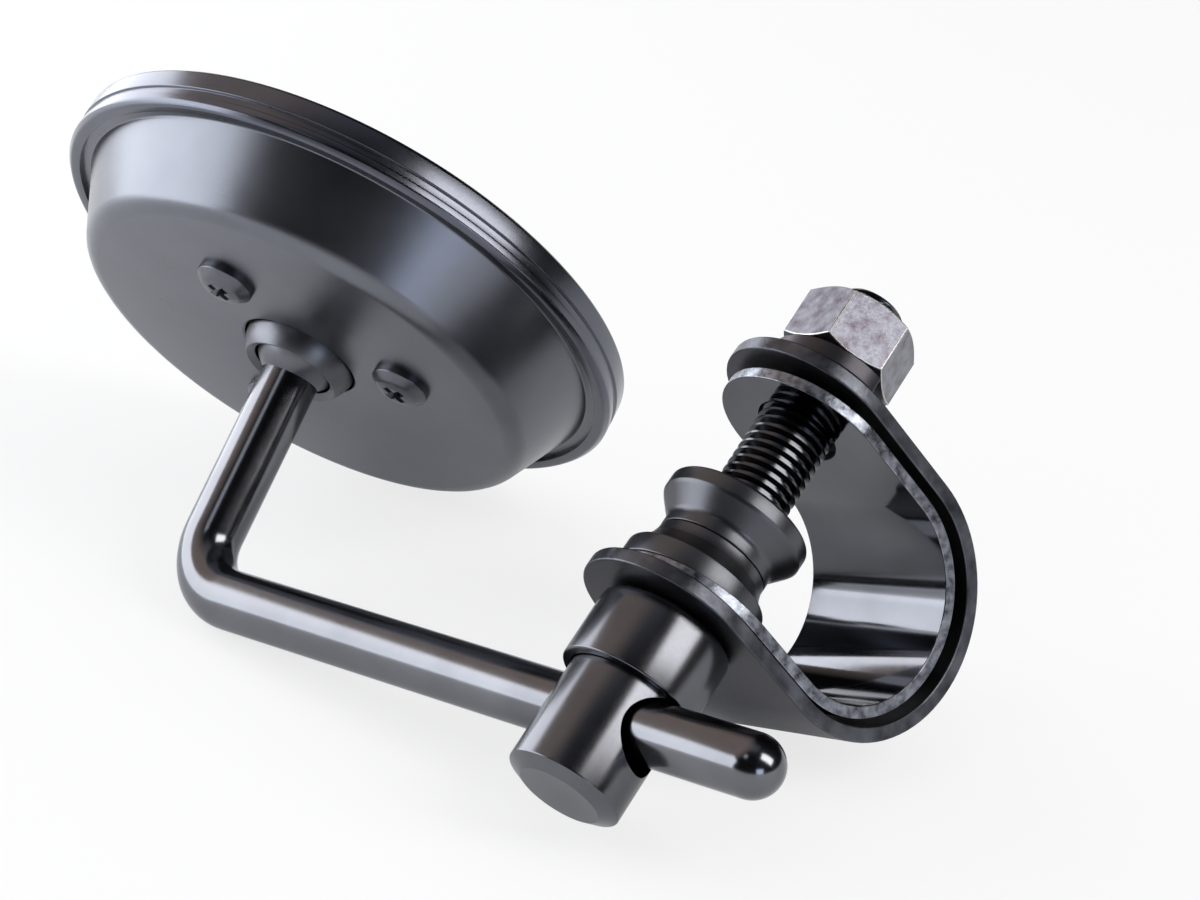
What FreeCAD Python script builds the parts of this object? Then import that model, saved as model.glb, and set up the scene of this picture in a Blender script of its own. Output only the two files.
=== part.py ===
"""Round handlebar mirror on a bent rod: strap clamp, eye bolt, rod, ball joint and mirror head.

Each piece is drawn in the frame that suits it. The bolt frame has its origin where the rod's
axis crosses the bolt's axis, +Z up the bolt to the nut, +Y along the handlebar and +X towards
the closed end of the strap. The clamp frame leans a little from it, the rod frame turns with the
eye bolt and the rod, and the head frame sits on the ball. At the end the whole mirror is laid
down as it lies on a table.
"""
import FreeCAD, Part
import math
import os

from FreeCAD import Placement, Rotation, Vector

os.makedirs("parts", exist_ok=True)

X_AXIS, Y_AXIS, Z_AXIS = Vector(1, 0, 0), Vector(0, 1, 0), Vector(0, 0, 1)

# Driving dimensions, in millimetres and degrees
STRAP_WIDTH = 24.0          # along the handlebar
STRAP_THICK = 2.0
STRAP_BOTTOM = 14.2         # outer face of the ear next to the sleeve
STRAP_TOP = 50.0            # outer face of the ear next to the nut
STRAP_REACH = 15.0          # bolt axis to the centre of the round end
LINER_THICK = 1.6
LINER_GAP = 1.4             # air between liner and strap at the nut's ear
LINER_REACH = 13.7
CLAMP_LEAN = 1.2            # the clamped strap leans on the bolt, its ears towards the nut

ROD_R = 4.0
EYE_HOLE_R = 5.2
EYE_HOLE_Z = -0.8           # the rod hangs in the top of its hole
EYE_BODY_R = 7.5
EYE_BODY_BOTTOM, EYE_BODY_TOP = -11.2, 9.6
THREAD_R = 4.9              # M10, plain here
BOLT_TIP = 65.4
LOOSE_HOLE_R = 5.5          # clearance holes for the M10 thread

SLEEVE_R, SLEEVE_BORE_R = 8.85, 7.7
SLEEVE_BOTTOM, SLEEVE_TOP = 4.05, 14.0
SPACER_RIM_R, SPACER_NECK_R = 9.6, 7.4
SPACER_SEAM = 24.5
SPACER_TOP = 31.2
WASHER_R, WASHER_THICK, WASHER_RISE = 8.4, 2.4, 1.8
WASHER_SPLIT_AT = -75.0
NUT_FLATS, NUT_HEIGHT, NUT_FOOT = 14.0, 8.3, 54.4
NUT_BORE_R = 5.0

ROD_TURN = 102.9            # eye bolt turned from the strap's +X
ROD_TWIST = -13.2           # rod turned in the eye
LONG_LEG = 73.5             # bolt axis to the short leg's axis
SHORT_LEG = 36.5            # long leg's axis to the ball's centre
FREE_END = 21.9             # bolt axis to the centre of the round free end
BEND_R = 8.0

BALL_R = 6.6
ROD_SEAT = 4.0              # the rod stops this far from the ball's centre
SOCKET_IN_R, SOCKET_OUT_R = 6.9, 8.2
SOCKET_MOUTH = 54.0         # half angle of the socket's mouth
SHELL_SEAT_R = 8.5
BALL_DEPTH = 2.2            # ball's centre below the back face
HEAD_TILT_X, HEAD_TILT_Y, HEAD_SPIN = 9.4, 3.8, 229.0

BACK_R, WALL_R = 32.5, 37.6     # back's outer corner, and the wall where it meets the flange
SHELL_THICK = 1.0
CORNER_R = 3.0
FLANGE_Z = 10.9                 # back face of the shell's flange
RIM_R, RIM_FRONT = 41.1, 16.1
RIM_WALL, RIM_BACK_R, RIM_LIP_R = 0.7, 39.1, 37.0
GLASS_BACK, GLASS_THICK = 12.4, 3.0
SEAT_TOP, SEAT_BOTTOM, SEAT_R, SEAT_FLANGE_R = 4.6, 10.2, 9.2, 10.8
PLATE_R, PLATE_TOP, PLATE_THICK = 21.0, 5.4, 1.5
SCREW_CIRCLE_R, SCREW_ANGLES = 17.2, (-142.0, -41.0, 88.5)      # the last one lies under the rod
SCREW_R, SCREW_HEAD_R, SCREW_HEAD_H = 2.0, 4.0, 2.2

# Lying on the table: yaw, pitch and roll of the bolt frame
REST_YAW, REST_PITCH, REST_ROLL = 17.8, 48.9, -29.5


def cylinder(radius, low, high, axis=Z_AXIS, centre=Vector(0, 0, 0)):
    """A cylinder from low to high along axis."""
    return Part.makeCylinder(radius, high - low, centre + axis * low, axis)


def turned(*points):
    """Solid turned about Z from (radius, height) points; a third value bulges the side that ends there."""
    edges = []
    for start, end in zip(points, points[1:] + points[:1]):
        a, b = Vector(start[0], 0, start[1]), Vector(end[0], 0, end[1])
        if len(end) == 3:
            side = (b - a).cross(Y_AXIS).normalize()
            edges.append(Part.Arc(a, (a + b) * 0.5 + side * end[2], b).toShape())
        else:
            edges.append(Part.makeLine(a, b))
    return Part.Face(Part.Wire(edges)).revolve(Vector(0, 0, 0), Z_AXIS, 360)


def u_band(low, high, reach, thick, tip_x_low, tip_x_high):
    """A strip bent into a U about the handlebar, with round ears drilled for the bolt."""
    middle, outer = (low + high) / 2, (high - low) / 2
    inner = outer - thick

    def u_section(radius):
        far = STRAP_WIDTH
        top, bottom = middle + radius, middle - radius
        return [Part.makeLine(Vector(-far, 0, bottom), Vector(reach, 0, bottom)),
                Part.Arc(Vector(reach, 0, bottom), Vector(reach + radius, 0, middle),
                         Vector(reach, 0, top)).toShape(),
                Part.makeLine(Vector(reach, 0, top), Vector(-far, 0, top)),
                Part.makeLine(Vector(-far, 0, top), Vector(-far, 0, bottom))]

    half = STRAP_WIDTH / 2
    solids = [Part.Face(Part.Wire(u_section(r))).extrude(Y_AXIS * STRAP_WIDTH) for r in (outer, inner)]
    band = solids[0].cut(solids[1])
    band.translate(Y_AXIS * -half)
    for tip_x, bottom, top in ((tip_x_low, low - 1, middle), (tip_x_high, middle, high + 1)):
        centre = tip_x + half
        length = reach + outer + 2 - centre
        plan = cylinder(half, bottom, top, centre=Vector(centre, 0, 0))
        plan = plan.fuse(Part.makeBox(length, STRAP_WIDTH, top - bottom, Vector(centre, -half, bottom)))
        rest = Part.makeBox(4 * half + length, 2 * STRAP_WIDTH, top - bottom,
                            Vector(-4 * half + centre, -STRAP_WIDTH, bottom))
        band = band.cut(rest.cut(plan))
    return band.cut(cylinder(LOOSE_HOLE_R, low - 1, high + 1))


def outer_strap():
    return u_band(STRAP_BOTTOM, STRAP_TOP, STRAP_REACH, STRAP_THICK,
                  -STRAP_WIDTH / 2, -STRAP_WIDTH / 2)


def band_liner():
    return u_band(STRAP_BOTTOM + STRAP_THICK, STRAP_TOP - STRAP_THICK - LINER_GAP, LINER_REACH,
                  LINER_THICK, -STRAP_WIDTH / 2 + 2.5, -STRAP_WIDTH / 2 + 1.9)


def eye_bolt():
    """Turned bolt: a thick drilled eye, chamfered at its end, and an M10 shank."""
    chamfer, point = 1.0, 0.9
    body = turned((0, EYE_BODY_BOTTOM), (EYE_BODY_R - 2.1 * chamfer, EYE_BODY_BOTTOM),
                  (EYE_BODY_R, EYE_BODY_BOTTOM + chamfer), (EYE_BODY_R, EYE_BODY_TOP - chamfer / 2),
                  (EYE_BODY_R - chamfer / 2, EYE_BODY_TOP), (THREAD_R, EYE_BODY_TOP),
                  (THREAD_R, BOLT_TIP - point), (THREAD_R - point, BOLT_TIP - 0.1),
                  (0, BOLT_TIP + 0.2))
    hole = cylinder(EYE_HOLE_R, -2 * EYE_BODY_R, 2 * EYE_BODY_R, X_AXIS, Vector(0, 0, EYE_HOLE_Z))
    return body.cut(hole)


def clamp_sleeve():
    """Cup over the eye: its rim presses on the rod and its floor bears on the strap."""
    round_r, edge = 1.2, 0.25
    floor = SLEEVE_TOP - 2.0
    return turned((SLEEVE_BORE_R, SLEEVE_BOTTOM), (SLEEVE_R - edge, SLEEVE_BOTTOM),
                  (SLEEVE_R, SLEEVE_BOTTOM + edge), (SLEEVE_R, SLEEVE_TOP - round_r),
                  (SLEEVE_R - round_r, SLEEVE_TOP, 0.35), (LOOSE_HOLE_R, SLEEVE_TOP),
                  (LOOSE_HOLE_R, floor), (SLEEVE_BORE_R, floor))


def lower_spacer():
    """Wedge spacer on the lower ear: a plain flange and a hollow cone up to the neck."""
    foot = STRAP_BOTTOM + STRAP_THICK + LINER_THICK
    shoulder = foot + 3.0
    return turned((LOOSE_HOLE_R, foot), (SPACER_RIM_R - 0.3, foot), (SPACER_RIM_R - 0.05, foot + 0.3),
                  (SPACER_RIM_R - 0.05, shoulder - 0.4), (SPACER_RIM_R - 0.5, shoulder),
                  (SPACER_RIM_R - 1.0, shoulder), (SPACER_NECK_R, SPACER_SEAM - 1.2, -0.35),
                  (SPACER_NECK_R, SPACER_SEAM), (LOOSE_HOLE_R, SPACER_SEAM))


def upper_spacer():
    """The same wedge the other way up, with a thicker rim."""
    cone_foot, rim_foot = SPACER_SEAM + 1.6, SPACER_TOP - 2.4
    return turned((LOOSE_HOLE_R, SPACER_SEAM), (SPACER_NECK_R, SPACER_SEAM),
                  (SPACER_NECK_R, cone_foot), (SPACER_RIM_R - 0.2, rim_foot, -0.5),
                  (SPACER_RIM_R, rim_foot + 0.3), (SPACER_RIM_R, SPACER_TOP - 0.4),
                  (SPACER_RIM_R - 0.4, SPACER_TOP), (LOOSE_HOLE_R, SPACER_TOP))


def spring_washer():
    """Split washer: one turn of square wire, its cut end standing proud."""
    inner, turn = LOOSE_HOLE_R + 0.1, 346.0
    pitch = WASHER_RISE * 360 / turn
    path = Part.makeHelix(pitch, WASHER_RISE, (inner + WASHER_R) / 2)
    section = Part.makePolygon([Vector(inner, 0, 0), Vector(WASHER_R, 0, 0),
                                Vector(WASHER_R, 0, WASHER_THICK), Vector(inner, 0, WASHER_THICK),
                                Vector(inner, 0, 0)])
    coil = Part.Wire(path).makePipeShell([section], True, True)
    coil.rotate(Vector(0, 0, 0), Z_AXIS, WASHER_SPLIT_AT)
    coil.translate(Z_AXIS * STRAP_TOP)
    return coil


def hex_nut():
    """Hexagon across the flats, its corners turned off at both faces, a corner towards -Y."""
    corner_r = NUT_FLATS / math.sqrt(3)
    foot = NUT_FOOT
    corners = [Vector(corner_r * math.sin(math.radians(60 * i)), corner_r * math.cos(math.radians(60 * i)), foot)
               for i in range(7)]
    block = Part.Face(Part.makePolygon(corners)).extrude(Z_AXIS * NUT_HEIGHT)
    drop, face_r = 0.75, NUT_FLATS / 2 - 0.25
    slope_r = face_r + drop * math.sqrt(3)
    top = foot + NUT_HEIGHT
    blank = turned((0, foot), (face_r, foot), (slope_r, foot + drop), (slope_r, top - drop),
                   (face_r, top), (0, top))
    lead = 0.6
    bore = turned((0, foot), (NUT_BORE_R + lead, foot), (NUT_BORE_R, foot + lead),
                  (NUT_BORE_R, top - lead), (NUT_BORE_R + lead, top), (0, top))
    return block.common(blank).cut(bore)


# Rod frame: +X along the long leg to the bend, +Z up the short leg

def mirror_rod():
    """Round bar bent square, with a domed free end; the short leg ends in the ball."""
    start, corner = Vector(-FREE_END, 0, 0), LONG_LEG - BEND_R
    quarter = BEND_R * math.sin(math.radians(45))
    path = Part.Wire([Part.makeLine(start, Vector(corner, 0, 0)),
                      Part.Arc(Vector(corner, 0, 0), Vector(corner + quarter, 0, BEND_R - quarter),
                               Vector(LONG_LEG, 0, BEND_R)).toShape(),
                      Part.makeLine(Vector(LONG_LEG, 0, BEND_R), Vector(LONG_LEG, 0, SHORT_LEG - ROD_SEAT))])
    section = Part.Wire(Part.makeCircle(ROD_R, start, X_AXIS))
    bar = path.makePipeShell([section], True, False)
    return bar.fuse(Part.makeSphere(ROD_R, start)).removeSplitter()


def ball_end():
    """Steel ball pressed on the rod's end."""
    centre = Vector(LONG_LEG, 0, SHORT_LEG)
    return Part.makeSphere(BALL_R, centre).cut(cylinder(ROD_R, -2 * BALL_R, -ROD_SEAT, centre=centre))


# Head frame: origin at the middle of the back face, +Z towards the glass

def sphere_zone(inner, outer, low, high):
    """The part of a hollow sphere about the ball between two heights, measured from its centre."""
    centre = Vector(0, 0, BALL_DEPTH)
    shell = Part.makeSphere(outer, centre).cut(Part.makeSphere(inner, centre))
    return shell.common(cylinder(2 * outer, low, high, centre=centre))


def socket_ring():
    """Loose ball socket that shows in the back's hole: a zone of a sphere with a bevelled mouth."""
    mouth = math.cos(math.radians(SOCKET_MOUTH))
    ring = sphere_zone(SOCKET_IN_R, SOCKET_OUT_R, -SOCKET_OUT_R, 0)
    spread = math.tan(math.radians(SOCKET_MOUTH))
    depth = 1.5 * SOCKET_OUT_R
    cone = Part.makeCone(0, depth * spread, depth, Vector(0, 0, BALL_DEPTH), -Z_AXIS)
    return ring.cut(cone)


def ball_seat():
    """Nylon cup behind the ball, with a flange that the clamp plate pulls on."""
    cup = turned((0, SEAT_TOP), (SEAT_FLANGE_R, SEAT_TOP), (SEAT_FLANGE_R, PLATE_TOP),
                 (SEAT_R, PLATE_TOP), (SEAT_R, SEAT_BOTTOM - 1.5), (SEAT_R - 1.5, SEAT_BOTTOM),
                 (0, SEAT_BOTTOM))
    return cup.cut(Part.makeSphere(SOCKET_IN_R, Vector(0, 0, BALL_DEPTH)))


def screw_places():
    """Centres of the screws on the back."""
    return [Vector(SCREW_CIRCLE_R * math.cos(math.radians(a)), SCREW_CIRCLE_R * math.sin(math.radians(a)), 0)
            for a in SCREW_ANGLES]


def clamp_plate():
    """Pressed plate inside the head: a disc with a tapped post under each screw."""
    plate = cylinder(PLATE_R, PLATE_TOP, PLATE_TOP + PLATE_THICK).cut(
        cylinder(SEAT_R, PLATE_TOP - 1, SEAT_BOTTOM))
    for place in screw_places():
        plate = plate.fuse(cylinder(SCREW_R + 1.4, SHELL_THICK, PLATE_TOP + 0.5, centre=place))
    for place in screw_places():
        plate = plate.cut(cylinder(SCREW_R, 0, SEAT_BOTTOM, centre=place))
    return plate


def plate_screws():
    """Pan-head screws with a cross recess."""
    screws = []
    arm, width, deep = 2.1, 0.9, 1.3
    for place in screw_places():
        head = turned((0, 0), (SCREW_HEAD_R, 0), (SCREW_HEAD_R, -0.5),
                      (SCREW_HEAD_R - 2.2, -SCREW_HEAD_H + 0.1, 0.35), (0, -SCREW_HEAD_H))
        for turn in (20, 110):
            slot = Part.makeBox(2 * arm, width, deep, Vector(-arm, -width / 2, -SCREW_HEAD_H))
            head = head.cut(slot.rotate(Vector(0, 0, 0), Z_AXIS, turn))
        screw = head.fuse(cylinder(SCREW_R, 0, PLATE_TOP + PLATE_THICK + 0.8))
        screw.translate(place)
        screws.append(screw)
    return Part.makeCompound(screws)


def back_shell():
    """Pressed steel cup: flat back, rounded corner, flared wall and a narrow flange."""
    t = SHELL_THICK
    wall = Vector(WALL_R - BACK_R, 0, FLANGE_Z - CORNER_R).normalize()
    off_r, off_z = t * wall.z, t * wall.x
    flange_r = RIM_R - RIM_WALL
    shell = turned((0, 0), (BACK_R - CORNER_R, 0), (BACK_R, CORNER_R, 0.29 * CORNER_R), (WALL_R, FLANGE_Z),
                   (flange_r, FLANGE_Z), (flange_r, FLANGE_Z + t), (WALL_R - off_r, FLANGE_Z + t),
                   (BACK_R - off_r, CORNER_R + off_z), (BACK_R - CORNER_R, t, -0.29 * (CORNER_R - t)), (0, t))
    shell = shell.cut(Part.makeSphere(SHELL_SEAT_R, Vector(0, 0, BALL_DEPTH)))
    for place in screw_places():
        shell = shell.cut(cylinder(SCREW_R + 0.2, -1, t + 1, centre=place))
    return shell


def rim_bezel():
    """Rolled ring that holds the glass to the shell: back lip, grooved wall and front lip."""
    inside, back, lip, nose = RIM_R - RIM_WALL, FLANGE_Z - RIM_WALL, 1.0, 0.6
    groove_r, band_r = RIM_R - 0.35, RIM_R - 0.1
    return turned((RIM_BACK_R, back), (RIM_R - lip, back), (RIM_R, back + lip, 0.29 * lip),
                  (RIM_R, back + 1.5), (groove_r, back + 1.75), (groove_r, back + 2.75),
                  (band_r, back + 3.0), (band_r, RIM_FRONT - nose),
                  (band_r - nose, RIM_FRONT, 0.29 * nose), (RIM_LIP_R, RIM_FRONT - 0.1),
                  (RIM_LIP_R, RIM_FRONT - RIM_WALL), (inside, RIM_FRONT - RIM_WALL),
                  (inside, FLANGE_Z), (RIM_BACK_R, FLANGE_Z))


def ring(inner, outer, low, high):
    return cylinder(outer, low, high).cut(cylinder(inner, low, high))


def rim_gasket():
    return ring(WALL_R - 0.5, RIM_R - RIM_WALL, FLANGE_Z + SHELL_THICK, GLASS_BACK)


def mirror_glass():
    return cylinder(RIM_R - RIM_WALL, GLASS_BACK, GLASS_BACK + GLASS_THICK)


def glass_pad():
    return cylinder(WALL_R - 2.5, FLANGE_Z + 0.1, GLASS_BACK)


middle = Vector(0, 0, (STRAP_BOTTOM + STRAP_TOP) / 2)
lean = Placement(middle, Rotation(Y_AXIS, CLAMP_LEAN)).multiply(Placement(-middle, Rotation()))
round_end = lean.multVec(middle + X_AXIS * STRAP_REACH)
lie_down = Rotation(REST_YAW, REST_PITCH, REST_ROLL)
bolt_frame = Placement(-lie_down.multVec(round_end), lie_down)
clamp_frame = bolt_frame.multiply(lean)
eye_frame = bolt_frame.multiply(Placement(Vector(0, 0, 0), Rotation(Z_AXIS, ROD_TURN)))
rod_frame = eye_frame.multiply(Placement(Vector(0, 0, 0), Rotation(X_AXIS, ROD_TWIST)))
tilt = Rotation(Y_AXIS, HEAD_TILT_Y).multiply(Rotation(X_AXIS, HEAD_TILT_X)).multiply(
    Rotation(Z_AXIS, HEAD_SPIN))
head_frame = rod_frame.multiply(Placement(Vector(LONG_LEG, 0, SHORT_LEG), tilt)).multiply(
    Placement(Vector(0, 0, -BALL_DEPTH), Rotation()))

assembly = (
    (clamp_frame, (outer_strap, band_liner, lower_spacer, upper_spacer, spring_washer)),
    (bolt_frame, (hex_nut,)),
    (eye_frame, (eye_bolt, clamp_sleeve)),
    (rod_frame, (mirror_rod, ball_end)),
    (head_frame, (socket_ring, ball_seat, clamp_plate, plate_screws, back_shell, rim_bezel,
                  rim_gasket, mirror_glass, glass_pad)),
)
for frame, pieces in assembly:
    for piece in pieces:
        shape = piece()
        shape.Placement = frame.multiply(shape.Placement)
        shape.exportStep("parts/" + piece.__name__ + ".step")
        print(piece.__name__, shape.isValid(), len(shape.Solids), round(shape.Volume, 1))
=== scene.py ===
"""Round handlebar mirror on a bent rod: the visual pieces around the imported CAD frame."""

import math

import bmesh
import bpy
from mathutils import Matrix, Vector


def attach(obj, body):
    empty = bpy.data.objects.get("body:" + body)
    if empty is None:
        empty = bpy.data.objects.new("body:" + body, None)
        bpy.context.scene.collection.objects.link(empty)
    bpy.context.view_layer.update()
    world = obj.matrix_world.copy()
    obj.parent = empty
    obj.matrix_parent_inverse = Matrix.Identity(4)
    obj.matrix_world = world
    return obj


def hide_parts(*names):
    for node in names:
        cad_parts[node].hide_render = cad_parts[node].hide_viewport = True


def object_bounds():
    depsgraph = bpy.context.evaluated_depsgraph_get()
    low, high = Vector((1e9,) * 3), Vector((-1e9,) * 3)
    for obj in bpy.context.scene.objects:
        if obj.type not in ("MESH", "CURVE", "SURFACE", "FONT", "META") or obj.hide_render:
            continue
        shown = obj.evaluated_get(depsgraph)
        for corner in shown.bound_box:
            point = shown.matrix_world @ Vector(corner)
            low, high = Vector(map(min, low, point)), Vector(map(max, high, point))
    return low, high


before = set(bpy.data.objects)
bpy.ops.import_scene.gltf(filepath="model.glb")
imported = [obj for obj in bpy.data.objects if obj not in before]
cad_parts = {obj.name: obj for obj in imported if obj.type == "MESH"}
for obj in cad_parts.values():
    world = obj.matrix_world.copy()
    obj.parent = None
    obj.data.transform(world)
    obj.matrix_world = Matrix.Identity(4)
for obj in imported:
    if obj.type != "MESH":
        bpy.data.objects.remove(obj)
cad_low, cad_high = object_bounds()

# ------------------------------------------------------------------ handlebar strap
# Cold-rolled steel strip, 24 x 2 mm, blanked with round drilled ends and folded into a U
# round the bar. Black zinc plate gives a satin dark grey; the sheared edges are brighter.

MM = 0.001
SMOOTH_ABOVE = math.radians(32)  # a sharper edge than this is shaded as an edge
LIE_Z, LIE_Y, LIE_X = 17.8, 48.9, -29.5  # degrees, how the clamp lies on the table
STRAP_LEAN = 1.2  # degrees that the strap leans on its bolt
STRAP_REACH, LOOP_HEIGHT = 15.0, 32.1  # the round end's centre, beside the bolt and along it
STRIP_WIDTH, STRIP_HOLE_R = 24.0, 5.5


def turn(axis, degrees):
    return Matrix.Rotation(math.radians(degrees), 4, axis)


lie_down = turn("Z", LIE_Z) @ turn("Y", LIE_Y) @ turn("X", LIE_X)
loop_height = Matrix.Translation((0, 0, LOOP_HEIGHT))
lean = loop_height @ turn("Y", STRAP_LEAN) @ loop_height.inverted()
round_end = lean @ Vector((STRAP_REACH, 0, LOOP_HEIGHT))
bolt_place = Matrix.Scale(MM, 4) @ lie_down @ Matrix.Translation(-round_end)
clamp_place = bolt_place @ lean


def hex_colour(code):
    """An sRGB hex value as linear RGBA."""
    parts = [int(code[i:i + 2], 16) / 255 for i in (1, 3, 5)]
    return [c / 12.92 if c <= 0.04045 else ((c + 0.055) / 1.055) ** 2.4 for c in parts] + [1.0]


def add_node(tree, kind, settings=None, **inputs):
    """Adds a node. Each input, by its name or as in0, in1, is a value or the socket that feeds it."""
    node = tree.nodes.new(kind)
    for key, value in (settings or {}).items():
        setattr(node, key, value)
    for key, value in inputs.items():
        numbered = key.startswith("in") and key[2:].isdigit()
        socket = node.inputs[int(key[2:]) if numbered else key.replace("_", " ")]
        if isinstance(value, bpy.types.NodeSocket):
            tree.links.new(value, socket)
        else:
            socket.default_value = value
    return node


def ramp(tree, feed, *stops):
    """A colour ramp with (position, hex colour) stops."""
    node = add_node(tree, "ShaderNodeValToRGB", Fac=feed)
    while len(node.color_ramp.elements) < len(stops):
        node.color_ramp.elements.new(0.5)
    for element, (position, code) in zip(node.color_ramp.elements, stops):
        element.position, element.color = position, hex_colour(code)
    return node.outputs["Color"]


def finish(name, dark, light, rough, grain_mm, grain_depth, patch_mm=9.0, metallic=1.0):
    """A coated or moulded surface: a fine grain, and slow patches in its colour and its gloss."""
    material = bpy.data.materials.new(name)
    material.use_nodes = True
    tree = material.node_tree
    shader = tree.nodes["Principled BSDF"]
    shader.inputs["Metallic"].default_value = metallic
    place = add_node(tree, "ShaderNodeTexCoord").outputs["Object"]
    grain = add_node(tree, "ShaderNodeTexNoise", Vector=place, Scale=1 / (grain_mm * MM), Detail=3.0)
    patches = add_node(tree, "ShaderNodeTexNoise", Vector=place, Scale=1 / (patch_mm * MM), Detail=4.0)
    tree.links.new(ramp(tree, patches.outputs["Fac"], (0.3, dark), (0.7, light)), shader.inputs["Base Color"])
    both = add_node(tree, "ShaderNodeMath", {"operation": "ADD"},
                    in0=grain.outputs["Fac"], in1=patches.outputs["Fac"])
    spread = add_node(tree, "ShaderNodeMapRange", Value=both.outputs[0], From_Min=0.6, From_Max=1.4,
                      To_Min=rough[0], To_Max=rough[1])
    tree.links.new(spread.outputs["Result"], shader.inputs["Roughness"])
    bump = add_node(tree, "ShaderNodeBump", Strength=0.5, Distance=grain_depth * MM,
                    Height=grain.outputs["Fac"])
    tree.links.new(bump.outputs["Normal"], shader.inputs["Normal"])
    return material


def new_verts(new):
    """The vertices among what an extrusion made."""
    return [v for v in new if isinstance(v, bmesh.types.BMVert)]


def new_edges(new):
    """The edges among what an extrusion made."""
    return [e for e in new if isinstance(e, bmesh.types.BMEdge)]


def place_piece(name, bm, place, body, materials, stands_for, edge_mm=0.0, edge_material=-1):
    """Writes a bmesh drawn in millimetres as a finished piece, and ties it to its CAD body."""
    bmesh.ops.transform(bm, matrix=place, verts=bm.verts)
    mesh = bpy.data.meshes.new(name)
    bm.to_mesh(mesh)
    bm.free()
    mesh.shade_smooth()
    mesh.set_sharp_from_angle(angle=SMOOTH_ABOVE)
    for material in materials:
        mesh.materials.append(material)
    piece = bpy.data.objects.new(name, mesh)
    bpy.context.collection.objects.link(piece)
    if edge_mm:
        bevel = piece.modifiers.new("edges", "BEVEL")
        bevel.width, bevel.segments = edge_mm * MM, 2
        bevel.limit_method, bevel.angle_limit = "ANGLE", SMOOTH_ABOVE
        bevel.harden_normals = True
        bevel.material = edge_material
    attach(piece, body)
    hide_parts(*stands_for)
    return piece


def folded_strip(low, high, reach, thick, ear_low, ear_high):
    """Blanks a strip with drilled round ends and folds it into a U about the handlebar.

    Its outer faces lie at low and high along the bolt, its bend starts at reach beside the bolt,
    and each ear runs on straight by ear_low or ear_high before it is full width.
    """
    half, round_steps, bend_steps = STRIP_WIDTH / 2, 64, 22
    outer_r, middle = (high - low) / 2, (high + low) / 2
    arc = math.pi * (outer_r - thick / 2)
    length = 2 * reach + arc
    bm = bmesh.new()
    for start, way, ear in ((0.0, 1, ear_low), (length, -1, ear_high)):
        hole = bmesh.ops.create_circle(bm, segments=round_steps, radius=STRIP_HOLE_R)["verts"]
        loop = [e for e in bm.edges if e.verts[0] in hole and e.verts[1] in hole]
        ring = new_verts(bmesh.ops.extrude_edge_only(bm, edges=loop)["geom"])
        for v in ring:
            c, s = v.co.x / STRIP_HOLE_R, v.co.y / STRIP_HOLE_R
            square = 1 if c <= 1e-6 else max(abs(c), abs(s))
            v.co = (ear + half * c / square, half * s / square, 0)
        straight = [v for v in ring if abs(v.co.x - ear - half) < 1e-4]
        bmesh.ops.transform(bm, matrix=Matrix.Translation((start, 0, 0)) @ Matrix.Scale(way, 4, (1, 0, 0)),
                            verts=hole + ring)
        here = ear + half
        stops = [reach] if reach > here + 0.2 else []
        bend_from = max(here, reach)
        stops += [bend_from + (length / 2 - bend_from) * (i + 1) / bend_steps for i in range(bend_steps)]
        for stop in stops:
            edges = [e for e in bm.edges if e.verts[0] in straight and e.verts[1] in straight]
            straight = new_verts(bmesh.ops.extrude_edge_only(bm, edges=edges)["geom"])
            for v in straight:
                v.co.x = start + way * stop
    bmesh.ops.remove_doubles(bm, verts=bm.verts, dist=0.001)
    lifted = new_verts(bmesh.ops.extrude_face_region(bm, geom=bm.faces[:])["geom"])
    bmesh.ops.translate(bm, verts=lifted, vec=(0, 0, thick))
    bmesh.ops.recalc_face_normals(bm, faces=bm.faces)
    for face in bm.faces:
        face.material_index = 1 if abs(face.normal.z) < 0.5 else 0
    for v in bm.verts:
        s, y, z = v.co
        bend = min(max((s - reach) / arc, 0.0), 1.0) * math.pi
        run = min(s, reach) if s < length / 2 else min(length - s, reach)
        r = outer_r - z
        v.co = (run + r * math.sin(bend), y, middle - r * math.cos(bend))
    return bm


strap_finish = finish("black_zinc_plate", "#434347", "#4f4f54", (0.3, 0.42), 0.35, 0.004)
sheared_edge = finish("sheared_steel_edge", "#36373c", "#62646b", (0.28, 0.45), 0.4, 0.03, patch_mm=3.0)
strap = folded_strip(low=14.2, high=50.0, reach=STRAP_REACH, thick=2.0, ear_low=0.0, ear_high=0.0)
place_piece("handlebar_strap", strap, clamp_place, "clamp",
            [strap_finish, sheared_edge], ["outer_strap"], edge_mm=0.25)

# ------------------------------------------------------------------ inner band
# A second strip of 1.6 mm steel folded inside the strap, which the handlebar bears on. It is
# polished before plating, so its inside is a dark mirror; its sheared edge is scratched pale.

band_finish = finish("black_gloss_plate", "#5a5b5f", "#626368", (0.06, 0.1), 0.8, 0.001)
scratched_edge = finish("scratched_steel_edge", "#3b3d44", "#989ca6", (0.22, 0.42), 0.3, 0.05, patch_mm=1.3)
band = folded_strip(low=16.2, high=46.6, reach=13.7, thick=1.6, ear_low=2.5, ear_high=1.9)
place_piece("inner_band", band, clamp_place, "clamp",
            [band_finish, scratched_edge], ["band_liner"], edge_mm=0.15)

# ------------------------------------------------------------------ eye bolt
# Turned from 15 mm bar: a thick eye, cross-drilled for the rod and chamfered at its end, and a
# shank with a rolled M10 x 1.25 thread. Black zinc plate; the thread's crests shine a little.

EYE_TURN = 102.9  # degrees that the bolt is turned in the clamp
EYE_R, EYE_FOOT, EYE_TOP = 7.5, -11.2, 9.6
ROD_HOLE_R, ROD_HOLE_HEIGHT = 4.85, -0.55
SHANK_R, PITCH = 4.9, 1.25
THREAD_FOOT, THREAD_TOP = 21.0, 64.9

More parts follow.
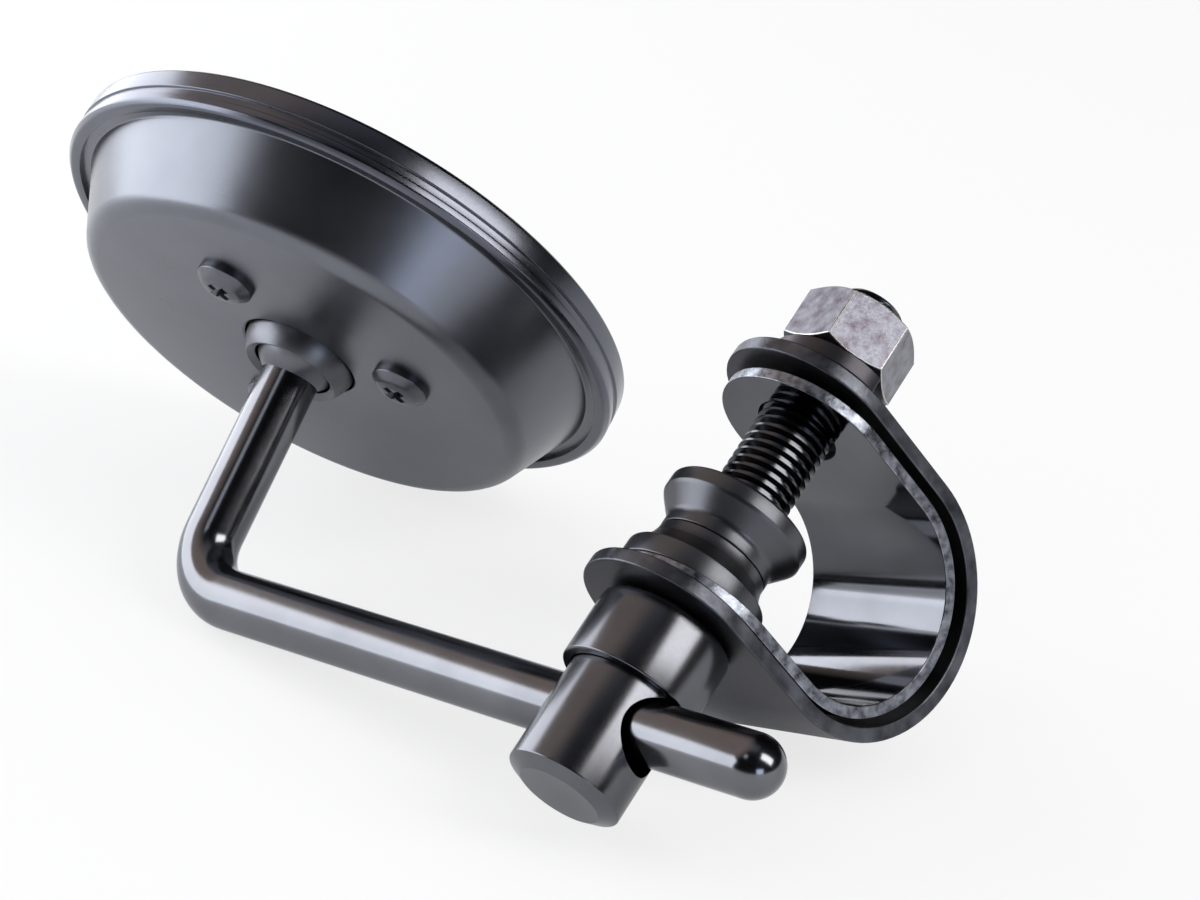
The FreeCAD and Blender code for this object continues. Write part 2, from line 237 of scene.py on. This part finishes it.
eye_place = bolt_place @ turn("Z", EYE_TURN)


def filleted(corners):
    """Profile points from (radius, height[, fillet]) corners, each fillet an arc of a few points."""
    points, arc_steps = [], 5
    for i, corner in enumerate(corners):
        here = Vector(corner[:2])
        if len(corner) < 3:
            points.append(here)
            continue
        back = (Vector(corners[i - 1][:2]) - here).normalized()
        ahead = (Vector(corners[(i + 1) % len(corners)][:2]) - here).normalized()
        half = back.angle(ahead) / 2
        centre = here + (back + ahead).normalized() * corner[2] / math.sin(half)
        start = here + back * corner[2] / math.tan(half) - centre
        end = here + ahead * corner[2] / math.tan(half) - centre
        points += [centre + start.slerp(end, k / arc_steps).normalized() * corner[2]
                   for k in range(arc_steps + 1)]
    return points


def turned(corners, steps=96):
    """Spins a profile about Z. A profile that starts and ends on the axis is left open there."""
    bm = bmesh.new()
    verts = [bm.verts.new((p.x, 0, p.y)) for p in filleted(corners)]
    closed = corners[0][0] > 0 or corners[-1][0] > 0
    pairs = list(zip(verts, verts[1:])) + ([(verts[-1], verts[0])] if closed else [])
    edges = [bm.edges.new(pair) for pair in pairs]
    bmesh.ops.spin(bm, geom=verts + edges, cent=(0, 0, 0), axis=(0, 0, 1), angle=math.tau,
                   steps=steps, use_merge=True)
    bmesh.ops.remove_doubles(bm, verts=bm.verts, dist=0.0005)
    bmesh.ops.recalc_face_normals(bm, faces=bm.faces)
    return bm


def as_object(bm):
    """The bmesh as an object of its own, ready to cut or to stage."""
    mesh = bpy.data.meshes.new("blank")
    bm.to_mesh(mesh)
    bm.free()
    blank = bpy.data.objects.new("blank", mesh)
    bpy.context.collection.objects.link(blank)
    return blank


def carved(bm, cutter):
    """The bmesh with the cutter's space taken out of it."""
    blank, tool = as_object(bm), as_object(cutter)
    cut = blank.modifiers.new("cut", "BOOLEAN")
    cut.operation, cut.solver, cut.object = "DIFFERENCE", "EXACT", tool
    result = bmesh.new()
    result.from_object(blank, bpy.context.evaluated_depsgraph_get())
    for used in (blank, tool):
        bpy.data.objects.remove(used)
    return result


def joined(*parts):
    """All the parts in one bmesh."""
    whole = bmesh.new()
    for part in parts:
        mesh = bpy.data.meshes.new("part")
        part.to_mesh(mesh)
        part.free()
        whole.from_mesh(mesh)
        bpy.data.meshes.remove(mesh)
    return whole


def rolled_thread(crest_r, pitch, low, high):
    """One thread groove swept up a helix, cut square below and closed by a low dome above."""
    depth, steps, dome = 0.62 * pitch, 56, 1.0
    root_r = crest_r - depth
    turns = math.ceil((high - low) / pitch) + 2
    bm = bmesh.new()
    groove = ((root_r, 0.0), (root_r, 0.14), (crest_r, 0.42),
              (crest_r, 0.66), (root_r, 0.94), (root_r, 1.0))
    verts = [bm.verts.new((r, 0, low - pitch + z * pitch)) for r, z in groove]
    edges = [bm.edges.new(pair) for pair in zip(verts, verts[1:])]
    bmesh.ops.spin(bm, geom=verts + edges, cent=(0, 0, 0), axis=(0, 0, 1), dvec=(0, 0, pitch / steps),
                   angle=math.tau * turns, steps=steps * turns)
    bmesh.ops.remove_doubles(bm, verts=bm.verts, dist=0.001)
    for height, side in ((low, -1), (high, 1)):
        bmesh.ops.bisect_plane(bm, geom=bm.verts[:] + bm.edges[:] + bm.faces[:], plane_co=(0, 0, height),
                               plane_no=(0, 0, side), clear_outer=True)
    for v in bm.verts:
        limit = crest_r - 0.9 * max(v.co.z - (high - dome), 0)
        r = math.hypot(v.co.x, v.co.y)
        if r > limit:
            v.co.x, v.co.y = v.co.x * limit / r, v.co.y * limit / r
    rims = [e for e in bm.edges if e.is_boundary]
    top = [e for e in rims if e.verts[0].co.z > (low + high) / 2]
    for shrink, rise in ((0.8, 0.25), (0.4, 0.15)):
        new = bmesh.ops.extrude_edge_only(bm, edges=top)["geom"]
        ring, top = new_verts(new), new_edges(new)
        bmesh.ops.scale(bm, verts=ring, vec=(shrink, shrink, 1))
        bmesh.ops.translate(bm, verts=ring, vec=(0, 0, rise))
    bmesh.ops.holes_fill(bm, edges=[e for e in bm.edges if e.is_boundary], sides=0)
    bmesh.ops.recalc_face_normals(bm, faces=bm.faces)
    return bm


chamfer_r, chamfer_top, shank_top = 5.4, -10.2, THREAD_FOOT + 1.0
eye_body = turned([(0, EYE_FOOT), (chamfer_r, EYE_FOOT, 0.2), (EYE_R, chamfer_top, 0.3),
                   (EYE_R, EYE_TOP, 0.4), (SHANK_R, EYE_TOP), (SHANK_R, shank_top, 0.3), (0, shank_top)])
rod_hole = bmesh.new()
bmesh.ops.create_cone(rod_hole, cap_ends=True, segments=64, radius1=ROD_HOLE_R, radius2=ROD_HOLE_R,
                      depth=4 * EYE_R)
bmesh.ops.transform(rod_hole, matrix=Matrix.Translation((0, 0, ROD_HOLE_HEIGHT)) @ turn("Y", 90),
                    verts=rod_hole.verts)
eye_finish = finish("black_zinc_turned", "#56575b", "#606166", (0.18, 0.26), 0.3, 0.003)
place_piece("eye_bolt_body", carved(eye_body, rod_hole), eye_place, "bolt",
            [eye_finish], ["eye_bolt"], edge_mm=0.2)
thread_finish = finish("black_zinc_thread", "#45464a", "#505155", (0.16, 0.24), 0.3, 0.004)
place_piece("eye_bolt_thread", rolled_thread(SHANK_R, PITCH, THREAD_FOOT, THREAD_TOP), eye_place, "bolt",
            [thread_finish], ["eye_bolt"])

# ------------------------------------------------------------------ clamp sleeve
# A turned cup over the top of the eye. Its rim presses on the rod when the nut is tightened and
# its floor bears on the strap. Black zinc plate over fine turning marks.

SLEEVE_R, SLEEVE_BORE_R, SLEEVE_HOLE_R = 8.85, 7.7, 5.5
SLEEVE_FOOT, SLEEVE_FLOOR, SLEEVE_TOP = 4.05, 12.0, 14.0

sleeve = turned([(SLEEVE_BORE_R, SLEEVE_FOOT), (SLEEVE_R, SLEEVE_FOOT, 0.25), (SLEEVE_R, SLEEVE_TOP, 1.2),
                 (SLEEVE_HOLE_R, SLEEVE_TOP), (SLEEVE_HOLE_R, SLEEVE_FLOOR), (SLEEVE_BORE_R, SLEEVE_FLOOR)])
place_piece("clamp_sleeve_cup", sleeve, eye_place, "bolt", [eye_finish],
            ["clamp_sleeve"])

# ------------------------------------------------------------------ wedge spacers
# Two turned spacers on the bolt, neck to neck, whose cones centre and wedge the handlebar.
# Black zinc plate with a satin, slightly soft edge.

SPACER_BORE_R, NECK_R, FLANGE_R = 5.5, 7.4, 9.6
LOWER_FOOT, LOWER_TOP, UPPER_FOOT, UPPER_TOP = 17.8, 24.4, 24.5, 31.2

spacer_finish = finish("black_zinc_satin", "#4b4c50", "#56575b", (0.28, 0.38), 0.3, 0.004)
lower = turned([(SPACER_BORE_R, LOWER_FOOT), (9.55, LOWER_FOOT, 0.3), (9.55, 20.8, 0.4), (8.6, 20.8, 0.3),
                (7.7, 22.8, 1.2), (NECK_R, 23.8), (NECK_R, LOWER_TOP, 0.15), (SPACER_BORE_R, LOWER_TOP)])
place_piece("wedge_spacer_lower", lower, clamp_place, "clamp", [spacer_finish],
            ["lower_spacer"])
upper = turned([(SPACER_BORE_R, UPPER_FOOT), (NECK_R, UPPER_FOOT, 0.15), (NECK_R, 26.2, 1.5),
                (9.35, 28.7, 0.3), (FLANGE_R, 29.1, 0.2), (FLANGE_R, UPPER_TOP, 0.45),
                (SPACER_BORE_R, UPPER_TOP, 0.2)])
place_piece("wedge_spacer_upper", upper, clamp_place, "upper_wedge", [spacer_finish],
            ["upper_spacer"])

# ------------------------------------------------------------------ spring washer
# One turn of square steel wire, cut through and sprung open. Black oxide.

WASHER_FOOT, WASHER_CUT = 50.0, -75.0  # its height on the bolt, and the angle of its cut in degrees
WASHER_IN_R, WASHER_OUT_R, WIRE_HEIGHT = 5.6, 8.4, 2.4
WASHER_TURN, WASHER_RISE = 346, 1.8

washer, washer_steps = bmesh.new(), 90
wire = [washer.verts.new((r, 0, z)) for r, z in ((WASHER_IN_R, 0), (WASHER_OUT_R, 0),
                                                 (WASHER_OUT_R, WIRE_HEIGHT), (WASHER_IN_R, WIRE_HEIGHT))]
washer.faces.new(wire)
bmesh.ops.spin(washer, geom=washer.verts[:] + washer.edges[:] + washer.faces[:], cent=(0, 0, 0),
               axis=(0, 0, 1), dvec=(0, 0, WASHER_RISE / washer_steps), angle=math.radians(WASHER_TURN),
               steps=washer_steps)
bmesh.ops.recalc_face_normals(washer, faces=washer.faces)
oxide = finish("black_oxide", "#38373a", "#454347", (0.3, 0.4), 0.3, 0.005)
washer_place = clamp_place @ Matrix.Translation((0, 0, WASHER_FOOT)) @ turn("Z", WASHER_CUT)
place_piece("split_washer", washer, washer_place, "clamp", [oxide],
            ["spring_washer"], edge_mm=0.25)

# ------------------------------------------------------------------ nut
# M10 hexagon nut, 14 mm across its flats, its corners turned off at 30 degrees. The black zinc
# has been scuffed by a spanner: the flats are dark with pale scuffs and the corners bright.

NUT_FLATS, NUT_BORE_R, NUT_FOOT, NUT_HEIGHT = 14.0, 5.0, 54.4, 8.3


def hex_nut(flats, bore_r, foot, height):
    """Rings of points drawn out from the bore over both faces; the outer ones lie on the hexagon."""
    apothem, face_r, lead = flats / 2, flats / 2 - 0.25, 0.7
    top = foot + height

    def hexagon(angle, z_face, side):
        r = apothem / math.cos((angle + math.pi / 3) % (math.pi / 3) - math.pi / 6)
        return r, z_face - side * math.tan(math.radians(30)) * max(r - face_r, 0)

    rings = [lambda a: (bore_r, foot + lead), lambda a: (bore_r + lead, foot), lambda a: (face_r, foot),
             lambda a: hexagon(a, foot, -1), lambda a: hexagon(a, top, 1), lambda a: (face_r, top),
             lambda a: (bore_r + lead, top), lambda a: (bore_r, top - lead),
             lambda a: (bore_r, foot + lead)]
    bm = bmesh.new()
    ring = bmesh.ops.create_circle(bm, segments=72, radius=bore_r)["verts"]
    edges = bm.edges[:]
    for step, place in enumerate(rings):
        if step:
            new = bmesh.ops.extrude_edge_only(bm, edges=edges)["geom"]
            ring = new_verts(new)
            edges = [e for e in new_edges(new) if e.verts[0] in ring and e.verts[1] in ring]
        for v in ring:
            angle = math.atan2(v.co.y, v.co.x)
            r, z = place(angle - math.pi / 6)
            v.co = (r * math.cos(angle), r * math.sin(angle), z)
    bmesh.ops.remove_doubles(bm, verts=bm.verts, dist=0.001)
    bmesh.ops.recalc_face_normals(bm, faces=bm.faces)
    return bm


nut_finish = finish("scuffed_black_zinc", "#4a444b", "#7c7e87", (0.25, 0.42), 0.4, 0.03, patch_mm=1.7)
nut_edge = finish("worn_steel_edge", "#8f8c8a", "#c9c7c4", (0.3, 0.45), 0.3, 0.03)
place_piece("hexagon_nut", hex_nut(NUT_FLATS, NUT_BORE_R, NUT_FOOT, NUT_HEIGHT), bolt_place, "nut",
            [nut_finish, nut_edge], ["hex_nut"], edge_mm=0.12, edge_material=1)

# ------------------------------------------------------------------ mirror rod
# 8 mm bright-drawn bar, one end domed, bent square on a tight former and plated in black
# chrome: a deep gloss with a faint brown cast.

ROD_TURN = -13.2  # degrees that the rod is turned in the eye
ROD_R, ROD_FREE_END, ROD_CORNER, ROD_BEND_R, ROD_TOP = 4.0, 21.9, 65.5, 8.0, 32.5

rod_place = eye_place @ turn("X", ROD_TURN)


def bent_rod(radius, free_end, corner_x, bend_r, top):
    """A bar drawn out ring by ring: the domed end, the long leg along X, the bend, the short leg."""
    dome_steps, leg_steps, bend_steps, tip_r = 14, 12, 24, radius * 0.02
    bm = bmesh.new()
    ring = bmesh.ops.create_circle(bm, cap_ends=True, segments=64, radius=tip_r)["verts"]
    bmesh.ops.transform(bm, matrix=Matrix.Translation((-free_end - radius, 0, 0)) @ turn("Y", 90),
                        verts=ring)
    edges = [e for e in bm.edges if e.is_boundary]

    def grow(move, size):
        nonlocal ring, edges
        new = bmesh.ops.extrude_edge_only(bm, edges=edges)["geom"]
        ring, edges = new_verts(new), [e for e in new_edges(new) if e.is_boundary]
        bmesh.ops.translate(bm, verts=ring, vec=move)
        bmesh.ops.scale(bm, verts=ring, vec=(size, size, size),
                        space=Matrix.Translation(-sum((v.co for v in ring), Vector()) / len(ring)))

    old_r, old_x = tip_r, -radius
    for i in range(1, dome_steps + 1):
        a = math.pi / 2 * i / dome_steps
        new_r, new_x = radius * math.sin(a), -radius * math.cos(a)
        grow((new_x - old_x, 0, 0), new_r / old_r)
        old_r, old_x = new_r, new_x
    for _ in range(leg_steps):
        grow(((corner_x + free_end) / leg_steps, 0, 0), 1)
    spun = bmesh.ops.spin(bm, geom=ring + edges, cent=(corner_x, 0, bend_r), axis=(0, -1, 0),
                          angle=math.pi / 2, steps=bend_steps)["geom_last"]
    ring, edges = new_verts(spun), new_edges(spun)
    grow((0, 0, top - bend_r), 1)
    bmesh.ops.holes_fill(bm, edges=[e for e in bm.edges if e.is_boundary], sides=0)
    bmesh.ops.remove_doubles(bm, verts=bm.verts, dist=0.0005)
    bmesh.ops.recalc_face_normals(bm, faces=bm.faces)
    return bm


rod_finish = finish("black_chrome", "#626367", "#6c6d71", (0.15, 0.2), 0.9, 0.001)
rod = bent_rod(ROD_R, ROD_FREE_END, ROD_CORNER, ROD_BEND_R, ROD_TOP)
place_piece("bent_rod", rod, rod_place, "arm", [rod_finish], ["mirror_rod"])

# ------------------------------------------------------------------ ball
# Hardened steel ball pressed on the rod's end, drawn in a dark satin plate.

BALL_R, BALL_AHEAD = 6.6, 4.0  # its radius, and its centre's distance past the rod's end

ball_arc = [(BALL_R * math.sin(math.radians(a)), BALL_R * math.cos(math.radians(a)))
            for a in range(6, 140, 6)]
ball = turned([(0, BALL_R)] + ball_arc + [(ROD_R, -5.25), (ROD_R, -4.0), (0, -4.0)])
ball_finish = finish("dark_satin_plate", "#5a5b60", "#67686d", (0.3, 0.4), 0.3, 0.003)
ball_place = rod_place @ Matrix.Translation((ROD_CORNER + ROD_BEND_R, 0, ROD_TOP + BALL_AHEAD))
place_piece("steel_ball", ball, ball_place, "arm", [ball_finish], ["ball_end"])

# ------------------------------------------------------------------ socket ring
# A pressed ring, a zone of a sphere, that floats between the ball and the back's hole and lets
# the head tilt further than the hole alone would.

HEAD_TILT_Y, HEAD_TILT_X, HEAD_SPIN = 3.8, 9.4, 229.0  # degrees, how the head lies on its ball
BALL_DEPTH = 2.2  # the ball's centre behind the back's outer face

head_place = (ball_place @ turn("Y", HEAD_TILT_Y) @ turn("X", HEAD_TILT_X) @ turn("Z", HEAD_SPIN)
              @ Matrix.Translation((0, 0, -BALL_DEPTH)))


def zone(radius, start, end):
    """Points on a sphere about the ball's centre, by angle from the head's -Z."""
    steps = 10
    angles = [math.radians(start + (end - start) * i / steps) for i in range(steps + 1)]
    return [(radius * math.sin(a), BALL_DEPTH - radius * math.cos(a)) for a in angles]


socket = turned(zone(6.9, 54, 88) + zone(8.2, 88, 54))
place_piece("socket_zone", socket, head_place, "socket", [ball_finish],
            ["socket_ring"], edge_mm=0.15)

# ------------------------------------------------------------------ back screws
# Three low-domed screws with a cross recess hold the inner plate to the back. Black zinc plate
# with a satin gloss.

SCREW_ANGLES, SCREW_CIRCLE_R = (-142.0, -41.0, 88.5), 17.2
SCREW_R, SCREW_HIGH = 4.0, 2.2
RECESS_LONG, RECESS_WIDE, RECESS_DEEP, RECESS_MIDDLE = 3.8, 1.25, 1.9, -1.6
RECESS_TURNS, SCREW_STEPS = (20, 110), 48

screw_finish = finish("black_zinc_screw", "#55565b", "#67686d", (0.28, 0.4), 0.25, 0.006)
screws = []
for angle in SCREW_ANGLES:
    head = turned([(0, 0.9), (SCREW_R, 0.9), (SCREW_R, -0.85, 0.25), (2.8, -1.85, 1.4),
                   (1.6, -2.15, 1.0), (0, -SCREW_HIGH)], SCREW_STEPS)
    for spin in RECESS_TURNS:
        slot = bmesh.new()
        bmesh.ops.create_cube(slot, size=1.0)
        for v in slot.verts:
            taper = 1.0 if v.co.z < 0 else 0.5
            v.co = (v.co.x * RECESS_LONG * taper, v.co.y * RECESS_WIDE * taper,
                    v.co.z * RECESS_DEEP + RECESS_MIDDLE)
        bmesh.ops.transform(slot, matrix=turn("Z", spin), verts=slot.verts)
        head = carved(head, slot)
    outward = turn("Z", angle) @ Matrix.Translation((SCREW_CIRCLE_R, 0, 0)) @ turn("Z", -angle)
    bmesh.ops.transform(head, matrix=outward, verts=head.verts)
    screws.append(head)
place_piece("back_screws", joined(*screws), head_place, "head", [screw_finish],
            ["plate_screws"], edge_mm=0.08)

# ------------------------------------------------------------------ back shell
# Deep-drawn steel cup with a flat back, a rounded corner and a flared wall, sprayed with a
# satin black lacquer that keeps a fine orange-peel grain.

FLANGE_FOOT, FLANGE_OUT_R, GLASS_REACH = 10.9, 40.4, 37.0
SHEET, HEAD_STEPS = 1.0, 192

shell_finish = finish("satin_black_lacquer", "#62646a", "#696b71", (0.27, 0.33), 0.35, 0.006)
shell = turned([(8.3, 0.2), (8.6, 0, 0.15), (32.5, 0, 3.2), (37.6, FLANGE_FOOT, 0.3),
                (FLANGE_OUT_R, FLANGE_FOOT), (FLANGE_OUT_R, FLANGE_FOOT + SHEET),
                (GLASS_REACH, FLANGE_FOOT + SHEET), (31.7, SHEET, 2.0), (8.45, SHEET)], HEAD_STEPS)
place_piece("back_cup", shell, head_place, "head", [shell_finish], ["back_shell"])

# ------------------------------------------------------------------ rim
# Rolled steel ring crimped over the cup's flange and the glass, with a groove round its wall.
# Gloss black lacquer.

RIM_R, RIM_BACK_R, GROOVE_R, GLASS_FRONT = 41.1, 39.1, 40.75, 15.4

rim_finish = finish("gloss_black_lacquer", "#565860", "#5c5e66", (0.2, 0.26), 0.5, 0.003)
rim = turned([(RIM_BACK_R, 10.25, 0.05), (40.5, 10.2, 0.6), (RIM_R, FLANGE_FOOT, 0.5), (RIM_R, 11.8, 0.15),
              (GROOVE_R, 12.0, 0.1), (GROOVE_R, 12.9, 0.1), (41.08, 13.1, 0.15), (41.0, 15.55, 0.5),
              (FLANGE_OUT_R, 16.08, 0.4), (GLASS_REACH, 16.0, 0.2), (GLASS_REACH, GLASS_FRONT),
              (FLANGE_OUT_R, GLASS_FRONT), (FLANGE_OUT_R, FLANGE_FOOT), (RIM_BACK_R, FLANGE_FOOT)],
             HEAD_STEPS)
place_piece("rolled_rim", rim, head_place, "head", [rim_finish], ["rim_bezel"])

# ------------------------------------------------------------------ glass and inner pieces
# Silvered flat glass on a foam pad, a rubber gasket under the rim, and inside the cup the nylon
# seat and the zinc-plated plate that holds it. All sit where the CAD solids are.


def assign(node, material):
    """Gives a CAD node that shows as it is its own material."""
    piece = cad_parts[node]
    piece.data.materials.clear()
    piece.data.materials.append(material)


assign("mirror_glass", finish("silvered_glass", "#dfe3e6", "#e6eaec", (0.01, 0.02), 4.0, 0.0005))
assign("glass_pad", finish("foam_pad", "#2a2a2a", "#3a3a3a", (0.85, 0.95), 0.6, 0.1, metallic=0.0))
assign("rim_gasket", finish("rubber_gasket", "#18181a", "#222224", (0.6, 0.7), 0.4, 0.02, metallic=0.0))
assign("ball_seat", finish("moulded_nylon", "#1f1f20", "#29292a", (0.45, 0.55), 0.5, 0.01, metallic=0.0))
assign("clamp_plate", finish("zinc_plated_steel", "#a8aab0", "#c2c4c8", (0.28, 0.38), 0.6, 0.01))

# ------------------------------------------------------------------ table, light and camera
# The mirror lies on a white table before a white backdrop. A long soft box stands to its left, a
# tall one to its right, a small card in front and a dim window above. Between them the plated steel
# shows a painted reflection of a dark studio with a warm pale patch up to the left: the world gives
# it to glossy rays only, and lights the scene with plain white.

TABLE_SIZE = 4.0  # metres, from its middle to each edge
TABLE_GLOW, STUDIO_FILL = 0.94, 0.7

floor_mesh = bmesh.new()
bmesh.ops.create_grid(floor_mesh, x_segments=1, y_segments=1, size=TABLE_SIZE)
bmesh.ops.translate(floor_mesh, verts=floor_mesh.verts, vec=(0, 0, cad_low.z))
table = as_object(floor_mesh)
table.name = "table"
white = bpy.data.materials.new("white_table")
white.use_nodes = True
tree = white.node_tree
laminate = tree.nodes["Principled BSDF"]
laminate.inputs["Base Color"].default_value = hex_colour("#f4f4f6")
laminate.inputs["Roughness"].default_value = 0.7


def seen_directly(tree, *rays):
    """1 where the ray is one of the named kinds of Light Path."""
    path = add_node(tree, "ShaderNodeLightPath")
    seen = path.outputs[rays[0]]
    for ray in rays[1:]:
        either = add_node(tree, "ShaderNodeMath", {"operation": "MAXIMUM"}, in0=seen, in1=path.outputs[ray])
        seen = either.outputs[0]
    return seen


# A share of plain white keeps the shadows faint. It is larger in the camera's view than in the
# steel's, and takes no part in the light on the mirror.
share = add_node(tree, "ShaderNodeMapRange",
                 Value=seen_directly(tree, "Is Camera Ray", "Is Transmission Ray"),
                 To_Min=0.15, To_Max=0.8)
only_seen = add_node(tree, "ShaderNodeMath", {"operation": "MULTIPLY"}, in0=share.outputs["Result"],
                     in1=seen_directly(tree, "Is Camera Ray", "Is Glossy Ray", "Is Transmission Ray"))
glow = add_node(tree, "ShaderNodeEmission", Color=hex_colour("#ffffff"), Strength=TABLE_GLOW)
faint_shadow = add_node(tree, "ShaderNodeMixShader", Fac=only_seen.outputs[0], in1=laminate.outputs[0],
                        in2=glow.outputs[0])
tree.links.new(faint_shadow.outputs[0], tree.nodes["Material Output"].inputs["Surface"])
table.data.materials.append(white)

world = bpy.data.worlds.new("studio")
bpy.context.scene.world = world
world.use_nodes = True
tree = world.node_tree
tree.nodes.clear()
# Painted reflection: only glossy rays see this ramp by height, which is white at the horizon, dark walls and
# a grey zenith, and the warm pale patch up to the left. These light nothing: every other ray gets the plain
# white fill, and the camera sees white.
direction = add_node(tree, "ShaderNodeTexCoord").outputs["Generated"]
height = add_node(tree, "ShaderNodeSeparateXYZ", Vector=direction).outputs["Z"]
reflected_surroundings = ramp(tree, height, (0.0, "#ffffff"), (0.06, "#303035"), (0.14, "#141418"),
             (0.84, "#141418"), (0.94, "#3c3e43"), (1.0, "#9a9ca4"))
toward_warm_reflection = add_node(tree, "ShaderNodeVectorMath", {"operation": "DOT_PRODUCT"},
                     in0=direction, in1=(-0.61, 0.35, 0.71))
warm_reflection_share = add_node(tree, "ShaderNodeMapRange", Value=toward_warm_reflection.outputs["Value"],
                  From_Min=0.72, From_Max=0.93, To_Min=0.0, To_Max=0.75)
studio = add_node(tree, "ShaderNodeMixRGB", Fac=warm_reflection_share.outputs["Result"],
                  Color1=reflected_surroundings, Color2=hex_colour("#ffeade"))
in_view = add_node(tree, "ShaderNodeMixRGB", Fac=seen_directly(tree, "Is Glossy Ray"),
                   Color1=hex_colour("#ffffff"), Color2=studio.outputs[0])
backdrop = add_node(tree, "ShaderNodeBackground", Color=in_view.outputs[0], Strength=1.0)
fill = add_node(tree, "ShaderNodeBackground", Color=hex_colour("#ffffff"), Strength=STUDIO_FILL)
mixed = add_node(tree, "ShaderNodeMixShader",
                 Fac=seen_directly(tree, "Is Camera Ray", "Is Glossy Ray", "Is Transmission Ray"),
                 in1=fill.outputs[0], in2=backdrop.outputs[0])
add_node(tree, "ShaderNodeOutputWorld", Surface=mixed.outputs[0])


def soft_lamp(name, place, size, roll, radiance, colour):
    """A soft box that faces the mirror, rolled about its own axis. Its power follows from its size."""
    lamp = bpy.data.lights.new(name, "AREA")
    lamp.shape, lamp.size, lamp.size_y = "RECTANGLE", size[0], size[1]
    lamp.energy, lamp.color = radiance * math.pi * size[0] * size[1], hex_colour(colour)[:3]
    holder = bpy.data.objects.new(name, lamp)
    facing = (-Vector(place)).to_track_quat("-Z", "Y").to_matrix().to_4x4()
    holder.matrix_world = Matrix.Translation(place) @ facing @ turn("Z", roll)
    holder.visible_camera = False
    bpy.context.collection.objects.link(holder)


soft_lamp("right_softbox", (0.61, -0.37, 0.58), (0.34, 0.66), 30.0, 7.2, "#fffdfa")
soft_lamp("left_softbox", (-0.53, 0.19, 0.14), (1.02, 0.34), 0.0, 4.7, "#f6faff")
soft_lamp("front_card", (0.15, -0.45, 0.07), (0.17, 0.12), 0.0, 4.0, "#dbe8ff")
soft_lamp("high_window", (-0.45, -0.45, 0.76), (0.2, 0.2), 0.0, 1.6, "#f0f4ff")

camera_data = bpy.data.cameras.new("camera")
camera_data.lens, camera_data.sensor_width = 102.0, 36.0
camera_data.clip_start, camera_data.clip_end = 0.01, 20
camera = bpy.data.objects.new("camera", camera_data)
eye = Vector((-0.04018, -0.37696, 0.18914))
right, up = Vector((0.9972, 0, 0.0751)), Vector((-0.0683, 0.4164, 0.9066))
ahead = Vector((0.0313, 0.9092, -0.4152))
camera.matrix_world = Matrix.Translation(eye) @ Matrix((right, up, -ahead)).transposed().to_4x4()
bpy.context.collection.objects.link(camera)
bpy.context.scene.camera = camera
bpy.context.scene.view_settings.view_transform = "Standard"
